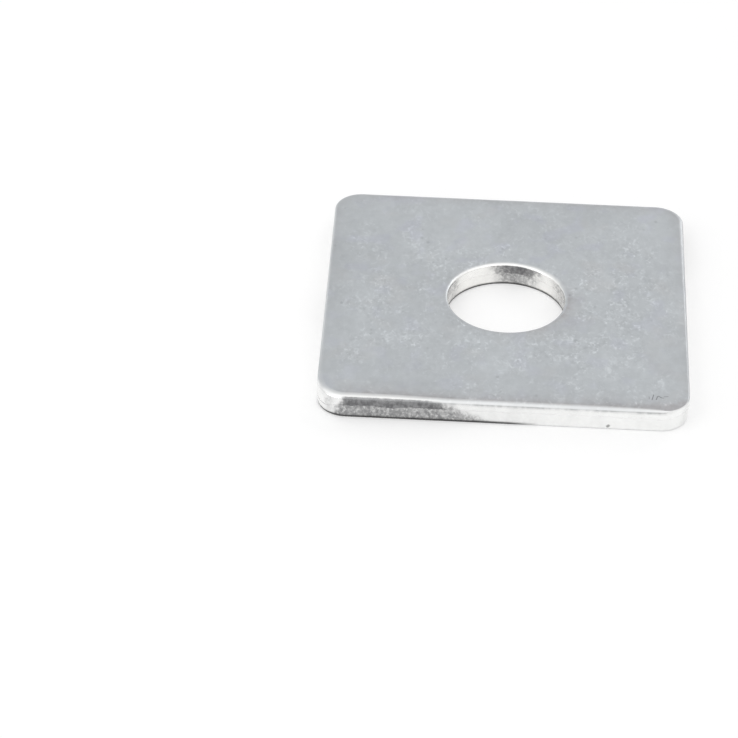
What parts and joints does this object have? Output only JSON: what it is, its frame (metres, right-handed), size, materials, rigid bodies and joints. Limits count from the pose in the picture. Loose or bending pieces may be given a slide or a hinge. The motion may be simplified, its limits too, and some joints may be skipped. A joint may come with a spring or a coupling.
{
  "type": "square plate washer",
  "caption": "Flat square steel washer with rounded corners, softened edges and a round bolt hole, to spread a bolt's load.",
  "frame": {"origin": "centre of the bolt hole, on the bottom face that the washer rests on", "axes": "+Z along the hole, out of the face whose edges are rolled over; +X and +Y square to the straight sides"},
  "size_m": [0.04, 0.04, 0.0027],
  "materials": {
    "zinc_plated_steel": "matt zinc-plated faces, brighter sheared edges"
  },
  "bodies": {
    "root": {"square_plate_washer": "zinc_plated_steel"}
  },
  "joints": []
}
